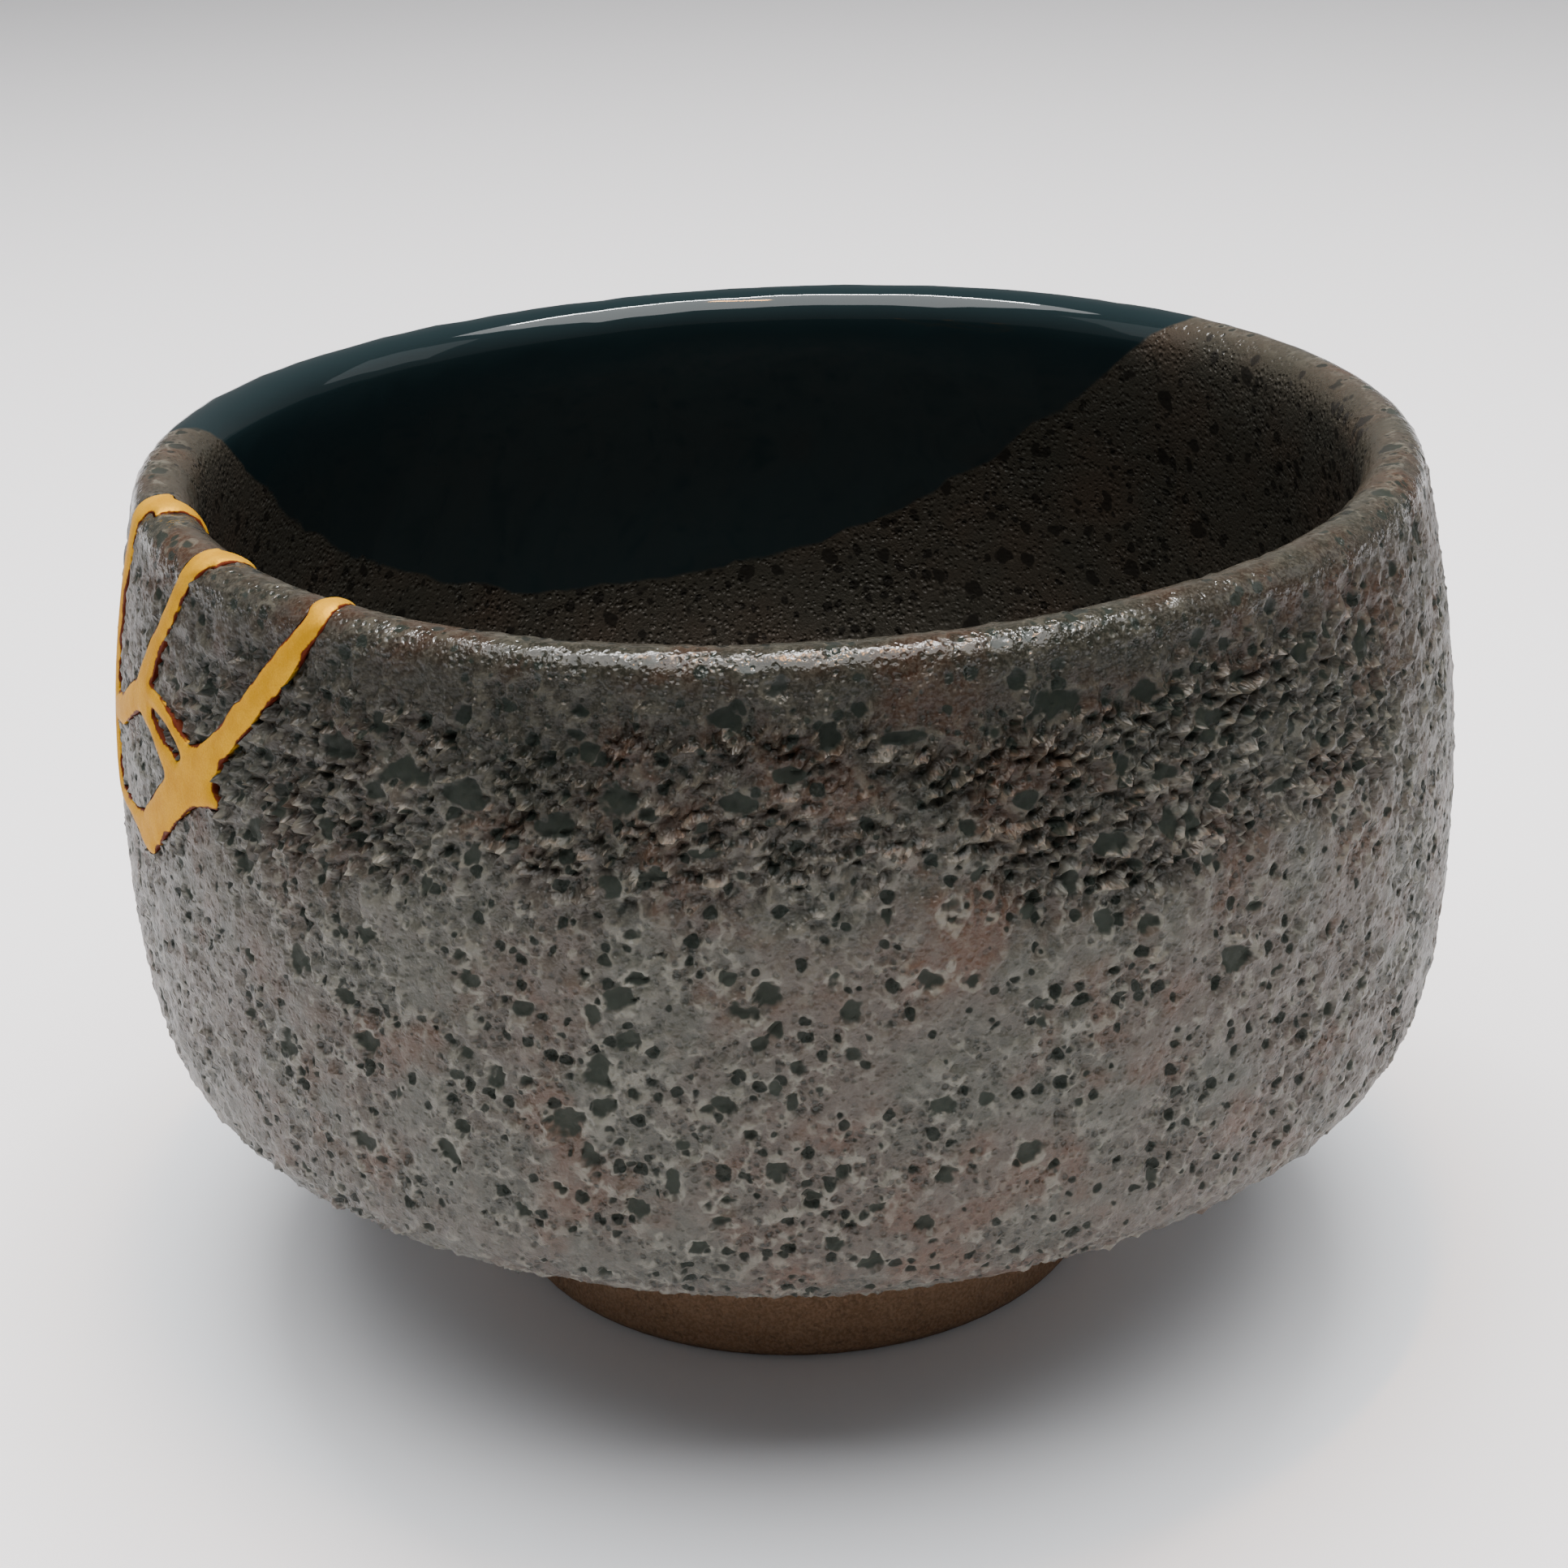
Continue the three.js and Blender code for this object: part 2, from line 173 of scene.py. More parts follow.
def foot_profile():
    inner = FOOT_RADIUS - FOOT_WIDTH
    corners = [(0, FOOT_RECESS), (inner - FOOT_BEVEL, FOOT_RECESS), (inner, FOOT_BEVEL), (inner + FOOT_BEVEL, 0),
               (FOOT_RADIUS - FOOT_BEVEL, 0), (FOOT_RADIUS, FOOT_BEVEL), (FOOT_RADIUS, FOOT_HEIGHT)]
    return np.array(corners, float)


def spaced(points, step):
    """The same line with its points an even distance apart, close to step."""
    at = np.concatenate([[0], np.cumsum(np.linalg.norm(np.diff(points, axis=0), axis=1))])
    even = np.linspace(0, at[-1], max(2, round(at[-1] / step) + 1))
    return np.stack([np.interp(even, at, points[:, i]) for i in range(2)], 1)


def joined(*lines):
    return np.concatenate([lines[0]] + [line[1:] for line in lines[1:]])


def facing(line):
    """Outward normals along a section line that runs from the underside, up the outside and in."""
    run = np.gradient(line, axis=0)
    run /= np.linalg.norm(run, axis=1)[:, None]
    return np.stack([run[:, 1], -run[:, 0]], 1)


OUTSIDE_LINE, INSIDE_LINE_POINTS = outside_profile(), inside_profile()


def section(outside_step, inside_step, swell):
    foot = spaced(foot_profile(), inside_step)
    line = joined(foot, spaced(OUTSIDE_LINE, outside_step), spaced(INSIDE_LINE_POINTS, inside_step))
    line = line + swell * facing(line)
    line[[0, -1], 0] = 0
    line[:, 1] = np.maximum(line[:, 1], 0)
    return line


def wave(angle, height):
    grow = (np.maximum(height - WAVE_START, 0) / (SHOULDER[1] - WAVE_START)) ** 1.5
    return grow * sum(size * np.cos(lobes * angle) for lobes, size in RIM_WAVES)


SKIN = section(0.1, 0.15, 0)
SKIN_FACING = facing(SKIN)
OUTSIDE_COUNT = len(spaced(foot_profile(), 0.15)) + len(spaced(OUTSIDE_LINE, 0.1)) - 2


def skin_of(co):
    """For each point: how far it is below the skin, the skin's outward direction, and its row there."""
    r, angle = np.hypot(co[:, 0], co[:, 1]), np.arctan2(co[:, 1], co[:, 0])
    flat = np.stack([r, co[:, 2] - wave(angle, co[:, 2])], 1)
    rough = np.arange(0, len(SKIN), 12)
    row = np.concatenate([
        rough[((part[:, None] - SKIN[rough]) ** 2).sum(-1).argmin(1)] for part in np.array_split(flat, 40)
    ])
    near = np.clip(row[:, None] + np.arange(-14, 15), 0, len(SKIN) - 1)
    row = near[np.arange(len(co)), ((flat[:, None] - SKIN[near]) ** 2).sum(-1).argmin(1)]
    out = SKIN_FACING[row]
    depth = -((flat - SKIN[row]) * out).sum(1)
    far = np.linalg.norm(flat - SKIN[row], axis=1)
    facing_out = np.stack([out[:, 0] * np.cos(angle), out[:, 0] * np.sin(angle), out[:, 1]], 1)
    return np.where(far > 0.3, far, depth), facing_out, row


# ---- meshes ------------------------------------------------------------------------------------


def make_object(name, co, triangles):
    mesh = bpy.data.meshes.new(name)
    mesh.vertices.add(len(co))
    mesh.vertices.foreach_set("co", np.asarray(co, np.float32).ravel())
    mesh.loops.add(triangles.size)
    mesh.loops.foreach_set("vertex_index", triangles.astype(np.int32).ravel())
    mesh.polygons.add(len(triangles))
    mesh.polygons.foreach_set("loop_start", np.arange(0, triangles.size, 3, dtype=np.int32))
    mesh.update(calc_edges=True)
    obj = bpy.data.objects.new(name, mesh)
    bpy.context.scene.collection.objects.link(obj)
    return obj


def coordinates(mesh):
    co = np.empty(len(mesh.vertices) * 3, np.float32)
    mesh.vertices.foreach_get("co", co)
    return co.reshape(-1, 3).astype(float)


def set_coordinates(mesh, co):
    mesh.vertices.foreach_set("co", np.asarray(co, np.float32).ravel())
    mesh.update()


def triangles_of(mesh):
    mesh.calc_loop_triangles()
    out = np.empty(len(mesh.loop_triangles) * 3, np.int32)
    mesh.loop_triangles.foreach_get("vertices", out)
    return out.reshape(-1, 3)


def vertex_normals(mesh):
    out = np.empty(len(mesh.vertices) * 3, np.float32)
    mesh.vertex_normals.foreach_get("vector", out)
    return out.reshape(-1, 3).astype(float)


def set_attribute(mesh, name, values):
    kind = "FLOAT_VECTOR" if values.ndim == 2 else "FLOAT"
    layer = mesh.attributes.new(name, kind, "POINT")
    layer.data.foreach_set("vector" if values.ndim == 2 else "value", np.asarray(values, np.float32).ravel())


def apply_modifiers(obj):
    mesh = bpy.data.meshes.new_from_object(obj.evaluated_get(bpy.context.evaluated_depsgraph_get()))
    old = obj.data
    obj.modifiers.clear()
    obj.data = mesh
    bpy.data.meshes.remove(old)


def remove(obj):
    mesh = obj.data
    bpy.data.objects.remove(obj)
    bpy.data.meshes.remove(mesh)


def cut(obj, other, operation):
    modifier = obj.modifiers.new("cut", "BOOLEAN")
    modifier.operation, modifier.object, modifier.solver = operation, other, "MANIFOLD"
    apply_modifiers(obj)


def thin(obj, most):
    count = len(triangles_of(obj.data))
    if count > most:
        modifier = obj.modifiers.new("thin", "DECIMATE")
        modifier.ratio, modifier.use_collapse_triangulate = most / count, True
        apply_modifiers(obj)


def turned(name, line, angles):
    """A closed solid turned from a section line that starts and ends on the axis."""
    rows, columns = line[1:-1], len(angles)
    r, z = rows[:, :1], rows[:, 1:] + wave(angles, rows[:, 1:])
    grid = np.stack([r * np.cos(angles), r * np.sin(angles), z], -1).reshape(-1, 3)
    co = np.concatenate([grid, [[0, 0, line[0, 1]], [0, 0, line[-1, 1]]]])
    i, j = np.arange(len(rows) - 1)[:, None] * columns, np.arange(columns)
    k = (j + 1) % columns
    quads = np.stack([i + j, i + k, i + columns + k, i + columns + j], -1).reshape(-1, 4)
    last = (len(rows) - 1) * columns
    ends = [np.stack([np.full(columns, len(grid)), k, j], -1),
            np.stack([np.full(columns, len(grid) + 1), last + j, last + k], -1)]
    return make_object(name, co, np.concatenate([quads[:, [0, 1, 2]], quads[:, [0, 2, 3]], *ends]))


def uneven_turn(start, end, inner, outer):
    """Angles all the way round, closer together from start to end degrees."""
    near = np.linspace(start, end, inner, endpoint=False)
    return np.radians(np.concatenate([near, np.linspace(end, start + 360, outer, endpoint=False)]))


# ---- seams -------------------------------------------------------------------------------------


def radius_at(line, height):
    order = np.argsort(line[:, 1])
    return np.interp(height, line[order, 1], line[order, 0])


def ring(station, width, radius, turn):
    """Points round a station, square to the wall, at a radius."""
    angle = math.radians(station[0] + turn)
    out, side = np.array([math.cos(angle), math.sin(angle), 0]), np.array([-math.sin(angle), math.cos(angle), 0])
    spin = np.arange(RING_SIDES) * 2 * math.pi / RING_SIDES
    across = np.cos(spin)[:, None] * side + np.sin(spin)[:, None] * np.array([0, 0, 1])
    return radius * out + np.array([0, 0, station[1]]) + across * width / 2


def smooth_stations(stations, parts=4):
    """More stations along one smooth curve through the given ones."""
    s = np.array(stations, float)
    before, after = np.concatenate([s[:1], s[:-1]]), np.concatenate([s[1:], s[-1:]])
    slope = (after - before) / 2
    out = []
    for i in range(len(s) - 1):
        for t in np.arange(parts) / parts:
            a, b = 2 * t ** 3 - 3 * t ** 2 + 1, t ** 3 - 2 * t ** 2 + t
            c, d = -2 * t ** 3 + 3 * t ** 2, t ** 3 - t ** 2
            out.append(a * s[i] + b * slope[i] + c * s[i + 1] + d * slope[i + 1])
    return out + [s[-1]]


def seam_network():
    """One closed solid that fills every seam: a line on each face of the wall and the crack between."""
    whole = bmesh.new()

    def block(points_a, points_b):
        verts = [whole.verts.new(p) for p in np.concatenate([points_a, points_b])]
        hull = bmesh.ops.convex_hull(whole, input=verts)
        loose = [v for v in hull["geom_interior"] + hull["geom_unused"] if isinstance(v, bmesh.types.BMVert)]
        bmesh.ops.delete(whole, geom=list(set(loose)), context="VERTS")

    def layer(stations, width, low, high):
        rings = []
        for station in stations:
            points = [ring(station, width(station), *place(station[1])) for place in (low, high)]
            rings.append(np.concatenate(points))
        for a, b in zip(rings, rings[1:]):
            block(a, b)

    def outer(depth):
        return lambda height: (radius_at(OUTSIDE_LINE, height) - depth, 0)

    def inner(depth):
        def place(height):
            down = min(max((CREST[1] - 1 - height) / 9, 0), 1)
            return radius_at(INSIDE_LINE_POINTS, height) + depth, lip_skew + (CRACK_SKEW - lip_skew) * down
        return place

    def line(station):
        return station[2] * LINE_FULLNESS

    for name, stations in SEAMS.items():
        lip_skew = LIP_SKEW.get(name, CRACK_SKEW)
        over_lip = []
        if stations[0][1] == ABOVE_RIM:
            over_lip = [(stations[0][0], CREST[1] - 0.6, stations[0][2]), stations[0]]
            stations = [(stations[0][0], CREST[1], stations[0][2])] + stations[1:]
        stations = smooth_stations(stations)
        layer(over_lip, line, inner(-CLEAR), outer(-CLEAR))
        layer(stations, line, outer(GOLD_DEPTH), outer(-CLEAR))
        layer(stations, lambda s: line(s) * INSIDE_LINE, inner(-CLEAR), inner(GOLD_DEPTH))
        layer(stations, lambda s: CRACK_WIDTH, inner(-CLEAR), outer(-CLEAR))
    mesh = bpy.data.meshes.new("seams")
    whole.to_mesh(mesh)
    whole.free()
    obj = bpy.data.objects.new("seams", mesh)
    bpy.context.scene.collection.objects.link(obj)
    modifier = obj.modifiers.new("remesh", "REMESH")
    modifier.mode, modifier.voxel_size, modifier.adaptivity = "VOXEL", SEAM_VOXEL, 0
    modifier = obj.modifiers.new("smooth", "SMOOTH")
    modifier.factor, modifier.iterations = 0.5, 3
    apply_modifiers(obj)
    co = coordinates(obj.data)
    places = [Vector(p) for p in co]
    wander = np.array([noise.noise_vector(p / 2.4) * 0.22 + noise.noise_vector(p / 0.9) * 0.06 for p in places])
    set_coordinates(obj.data, co + wander)
    return obj


def grown(obj, by):
    other = bpy.data.objects.new("grown", obj.data.copy())
    bpy.context.scene.collection.objects.link(other)
    set_coordinates(other.data, coordinates(obj.data) + by * vertex_normals(obj.data))
    return other


def pieces_of(obj):
    """The separate closed pieces of a mesh, as (points, triangles)."""
    co, tris = coordinates(obj.data), triangles_of(obj.data)
    label = np.arange(len(co))
    while True:
        lowest = label[tris].min(1)
        new = label.copy()
        for i in range(3):
            np.minimum.at(new, tris[:, i], lowest)
        new = new[new]
        if (new == label).all():
            break
        label = new
    out = []
    for value in np.unique(label[tris[:, 0]]):
        own = tris[label[tris[:, 0]] == value]
        used, index = np.unique(own, return_inverse=True)
        out.append((co[used], index.reshape(-1, 3)))
    return out


# ---- node graphs -------------------------------------------------------------------------------


class Graph:
    """Builds nodes in a shader or geometry tree. A value is a number, a tuple or another node's output."""

    def __init__(self, tree):
        self.tree = tree

    def put(self, socket, value):
        if isinstance(value, bpy.types.NodeSocket):
            self.tree.links.new(value, socket)
        else:
            socket.default_value = value

    def add(self, kind, inputs=None, **settings):
        node = self.tree.nodes.new(kind)
        for name, value in settings.items():
            setattr(node, name, value)
        for name, value in (inputs or {}).items():
            self.put(node.inputs[name], value)
        return node

    def math(self, operation, a, b=0.0, c=0.0):
        return self.add("ShaderNodeMath", {0: a, 1: b, 2: c}, operation=operation).outputs[0]

    def vector(self, operation, a, b=(0.0, 0.0, 0.0), scale=None):
        inputs = {0: a, 1: b}
        if scale is not None:
            inputs["Scale"] = scale
        node = self.add("ShaderNodeVectorMath", inputs, operation=operation)
        return node.outputs["Value" if operation in ("LENGTH", "DOT_PRODUCT") else "Vector"]

    def step(self, value, low, high, start=0.0, end=1.0):
        """A smooth step: start at or below low, end at or above high."""
        inputs = {"Value": value, "From Min": low, "From Max": high, "To Min": start, "To Max": end}
        return self.add("ShaderNodeMapRange", inputs, interpolation_type="SMOOTHSTEP").outputs["Result"]

    def noise(self, at, size, detail=2.0, roughness=0.5, distortion=0.0):
        inputs = {"Vector": at, "Scale": 1 / size, "Detail": detail, "Roughness": roughness, "Distortion": distortion}
        return self.add("ShaderNodeTexNoise", inputs, noise_dimensions="3D")

    def cells(self, at, size):
        inputs = {"Vector": at, "Scale": 1 / size}
        return self.add("ShaderNodeTexVoronoi", inputs, voronoi_dimensions="3D", feature="F1")

    def split(self, vector):
        return self.add("ShaderNodeSeparateXYZ", {0: vector}).outputs

    def between(self, factor, a, b):
        return self.add("ShaderNodeMix", {0: factor, 2: a, 3: b}, data_type="FLOAT").outputs[0]

    def mix(self, factor, a, b):
        node = self.add("ShaderNodeMix", data_type="RGBA")
        for index, value in ((0, factor), (6, a), (7, b)):
            if isinstance(value, tuple) and len(value) == 3:
                value = (*value, 1.0)
            self.put(node.inputs[index], value)
        return node.outputs[2]


def shifted(g, at, by):
    return g.vector("ADD", at, by)


def unevenness(g, at):
    """A small vector that wanders over about a millimetre."""
    return g.vector("SUBTRACT", g.noise(at, 1.3, 1.0).outputs["Color"], (0.5, 0.5, 0.5))


def pits(g, at, uneven, size, smallest, largest, warp, wander, power):
    """Irregular round pits. Gives the signed distance in from a pit's edge, and a random value per pit."""
    moved = g.vector("ADD", at, g.vector("SCALE", uneven, scale=warp))
    cell = g.cells(g.vector("ADD", moved, (wander, wander, wander)), size)
    pick = g.split(cell.outputs["Color"])
    radius = g.math("MULTIPLY_ADD", g.math("POWER", pick[0], power), largest - smallest, smallest)
    distance = g.math("MULTIPLY", cell.outputs["Distance"], size)
    return g.math("SUBTRACT", radius, distance), pick[1]


def crusty(g, at, uneven, band):
    """Crowded small dimples with sharp crests between them. In the band they lie flat and overlap like scales."""
    x, y, z = g.split(at)[:3]
    flattening = g.math("MULTIPLY_ADD", band, BAND_FLATTENING, 1.0)
    z = g.math("MULTIPLY_ADD", g.math("SUBTRACT", z, BAND_MIDDLE), flattening, BAND_MIDDLE)
    moved = g.add("ShaderNodeCombineXYZ", {0: x, 1: y, 2: z}).outputs[0]
    moved = g.vector("ADD", moved, g.vector("SCALE", uneven, scale=1.5))
    cell = g.cells(moved, CRUST_SIZE)
    pick = g.split(cell.outputs["Color"])
    away = cell.outputs["Distance"]
    rise = g.math("MULTIPLY", away, away)
    offset = g.split(g.vector("SUBTRACT", moved, cell.outputs["Position"]))[2]
    swell = g.math("MULTIPLY_ADD", g.math("MULTIPLY", offset, band), -0.4, rise)
    swell = g.math("MULTIPLY_ADD", pick[1], -0.3, swell)
    hollow = g.math("MULTIPLY", g.step(rise, 0.16, 0.03), pick[0])
    return {"swell": swell, "crest": g.step(rise, 0.2, 0.42), "hollow": hollow}


def fields(g, at, inside):
    """Slow changes over the bowl, stored on the mesh: where each kind of surface lies, in millimetres or 0 to 1."""
    x, y, z = g.split(at)[:3]
    s = g.math("ADD", g.math("MULTIPLY", x, math.cos(math.radians(DIP_DEGREES))),
               g.math("MULTIPLY", y, math.sin(math.radians(DIP_DEGREES))))
    edge = g.math("SUBTRACT", g.noise(at, 8.0, 3.0, 0.55).outputs["Fac"], 0.5)
    dip = g.math("SUBTRACT", g.math("ADD", z, g.math("MULTIPLY", s, DIP_SLOPE)), DIP_LEVEL)
    dip = g.math("MULTIPLY_ADD", edge, 6.0, dip)
    bare = g.math("SUBTRACT", BARE_HEIGHT, g.math("MULTIPLY_ADD", edge, 2.0, z))
    bare = g.math("SUBTRACT", bare, g.math("MULTIPLY", inside, 50.0))
    wide = g.noise(shifted(g, at, (31.0, 0.0, 0.0)), 15.0, 2.0, 0.6).outputs["Fac"]
    height = g.math("MULTIPLY_ADD", g.math("SUBTRACT", wide, 0.5), 14.0, z)
    toward = g.math("MULTIPLY_ADD", g.math("DIVIDE", y, -60.0), 0.75, 0.35)
    toward = g.math("MINIMUM", g.math("MAXIMUM", toward, 0.35), 1.0)
    outdoors = g.math("SUBTRACT", 1.0, inside)
    band = g.math("MULTIPLY", g.step(height, 56.0, 63.0), g.step(height, 72.0, 77.0, 1.0, 0.0))
    crowd = g.noise(shifted(g, at, (0.0, 55.0, 0.0)), 7.0, 2.0, 0.6).outputs["Fac"]
    band = g.math("MULTIPLY", band, g.math("MULTIPLY", outdoors, g.step(y, -48.0, -22.0, 1.0, 0.2)))
    band = g.math("MULTIPLY", band, g.step(crowd, 0.36, 0.54, 0.65, 1.0))
    crowd = g.math("MAXIMUM", g.step(crowd, 0.36, 0.6), g.math("MULTIPLY", band, 0.95))
    shade = g.math("MULTIPLY", g.step(height, 57.0, 76.0), g.math("MULTIPLY", outdoors, toward))
    placed = g.math("MULTIPLY", g.step(y, -34.0, -22.0, 1.0, 0.0), outdoors)
    lively = g.math("MULTIPLY", g.step(y, -40.0, -8.0, 1.0, 0.5), g.math("MULTIPLY_ADD", inside, -0.5, 1.0))
    lively = g.math("MULTIPLY", lively, g.step(z, 75.5, 78.8, 1.0, 0.4))
    tint = g.noise(shifted(g, at, (0.0, 0.0, 90.0)), 11.0, 3.0, 0.6).outputs["Fac"]
    rust = g.noise(shifted(g, at, (70.0, 0.0, 0.0)), 8.0, 4.0, 0.65).outputs["Fac"]
    return {"dip": dip, "bare": bare, "band": band, "crowd": crowd, "shade": shade, "tint": tint, "rust": rust,
            "placed": placed, "lively": lively}


def relief(g, at, spot, f):
    """The masks of the pits, and the glaze's relief in millimetres."""
    gloss, bare = g.step(f["dip"], -0.3, 0.3), g.step(f["bare"], -0.3, 0.3)
    plain = g.math("SUBTRACT", 1.0, g.math("MAXIMUM", gloss, bare))
    uneven = unevenness(g, at)
    large, large_pick = pits(g, at, uneven, 3.1, 0.2, 1.25, 1.3, 0.0, 1.3)
    large = g.math("MULTIPLY_ADD", f["placed"], -0.5, large)
    middle, _ = pits(g, at, uneven, 1.6, 0.12, 0.6, 0.8, 17.0, 1.2)
    crust = crusty(g, at, uneven, f["band"])
    spot = g.math("MULTIPLY_ADD", g.split(uneven)[0], 1.6, spot)
    large_in = g.math("MAXIMUM", g.step(large, -0.08, 0.14), g.step(spot, 0.05, 0.3))
    rim = g.math("MAXIMUM", g.step(large, -0.45, -0.2), g.step(spot, -0.5, -0.15))
    rim = g.math("MAXIMUM", rim, g.step(middle, -0.3, -0.14, 0.0, 0.4))
    crowding = g.math("MULTIPLY_ADD", f["crowd"], 0.2, -0.1)
    middle_in = g.step(g.math("ADD", middle, crowding), -0.05, 0.1)
    middle_in = g.math("MULTIPLY", middle_in, g.math("SUBTRACT", 1.0, large_in))
    rim = g.math("MULTIPLY", rim, g.math("SUBTRACT", 1.0, g.math("MAXIMUM", large_in, middle_in)))
    peel = g.noise(shifted(g, at, (0.0, 12.0, 4.0)), 1.25, 2.0, 0.55, 0.4).outputs["Fac"]
    ledge = g.noise(g.vector("MULTIPLY", at, (0.45, 0.45, 1.15)), 1.5, 3.0, 0.6, 0.5).outputs["Fac"]
    ledge = g.math("MULTIPLY", g.step(ledge, 0.42, 0.58), f["band"])
    broad = g.math("SUBTRACT", g.noise(at, 5.0, 1.0, 0.5).outputs["Fac"], 0.5)
    height = g.math("MULTIPLY", large_in, g.math("MULTIPLY_ADD", large_pick, -0.3, -0.25))
    height = g.math("MULTIPLY_ADD", rim, 0.08, height)
    height = g.math("MULTIPLY_ADD", middle_in, -0.22, height)
    height = g.math("MULTIPLY_ADD", ledge, 0.25, height)
    height = g.math("MULTIPLY_ADD", f["band"], -0.2, height)
    peeling = g.math("MULTIPLY_ADD", f["crowd"], 0.4, 0.4)
    height = g.math("MULTIPLY_ADD", g.math("SUBTRACT", peel, 0.55), peeling, height)
    amount = g.math("MULTIPLY_ADD", f["crowd"], 0.45, g.math("MULTIPLY_ADD", f["band"], 0.85, 0.22))
    amount = g.math("MULTIPLY", amount, g.math("MULTIPLY_ADD", large_in, -0.7, 1.0))
    height = g.math("MULTIPLY_ADD", g.math("SUBTRACT", crust["swell"], CRUST_LEVEL), amount, height)
    height = g.math("MULTIPLY", g.math("MULTIPLY_ADD", broad, 0.25, height), g.math("MULTIPLY", plain, f["lively"]))
    height = g.math("MULTIPLY_ADD", gloss, g.math("MULTIPLY", broad, 0.3), height)
    masks = {"large": large_in, "rim": rim, "middle": middle_in, "plain": plain, "gloss": gloss,
             "clay": bare, "uneven": uneven, "amount": amount, **crust}
    return height, {**f, **masks}


def relief_group():
    tree = bpy.data.node_groups.new("relief", "GeometryNodeTree")
    tree.interface.new_socket("Geometry", in_out="INPUT", socket_type="NodeSocketGeometry")
    tree.interface.new_socket("Geometry", in_out="OUTPUT", socket_type="NodeSocketGeometry")
    g = Graph(tree)
    start, end = g.add("NodeGroupInput"), g.add("NodeGroupOutput")

    def stored(name, kind):
        return g.add("GeometryNodeInputNamedAttribute", {"Name": name}, data_type=kind).outputs["Attribute"]

    at = stored("rest", "FLOAT_VECTOR")
    slow = fields(g, at, stored("inside", "FLOAT"))
    height, _ = relief(g, at, stored("spot", "FLOAT"), slow)
    height = g.math("MULTIPLY", height, stored("cover", "FLOAT"))
    moved = g.add("GeometryNodeSetPosition", {"Geometry": start.outputs[0]})
    g.put(moved.inputs["Offset"], g.vector("SCALE", stored("skin", "FLOAT_VECTOR"), scale=height))
    geometry = moved.outputs[0]
    for name, value in slow.items():
        inputs = {"Geometry": geometry, "Name": name, "Value": value}
        geometry = g.add("GeometryNodeStoreNamedAttribute", inputs, data_type="FLOAT", domain="POINT").outputs[0]
    g.put(end.inputs[0], geometry)
    return tree


def material(name):
    mat = bpy.data.materials.new(name)
    mat.use_nodes = True
    mat.node_tree.nodes.clear()
    g = Graph(mat.node_tree)
    out, shader = g.add("ShaderNodeOutputMaterial"), g.add("ShaderNodeBsdfPrincipled")
    g.put(out.inputs["Surface"], shader.outputs[0])
    return mat, g, shader


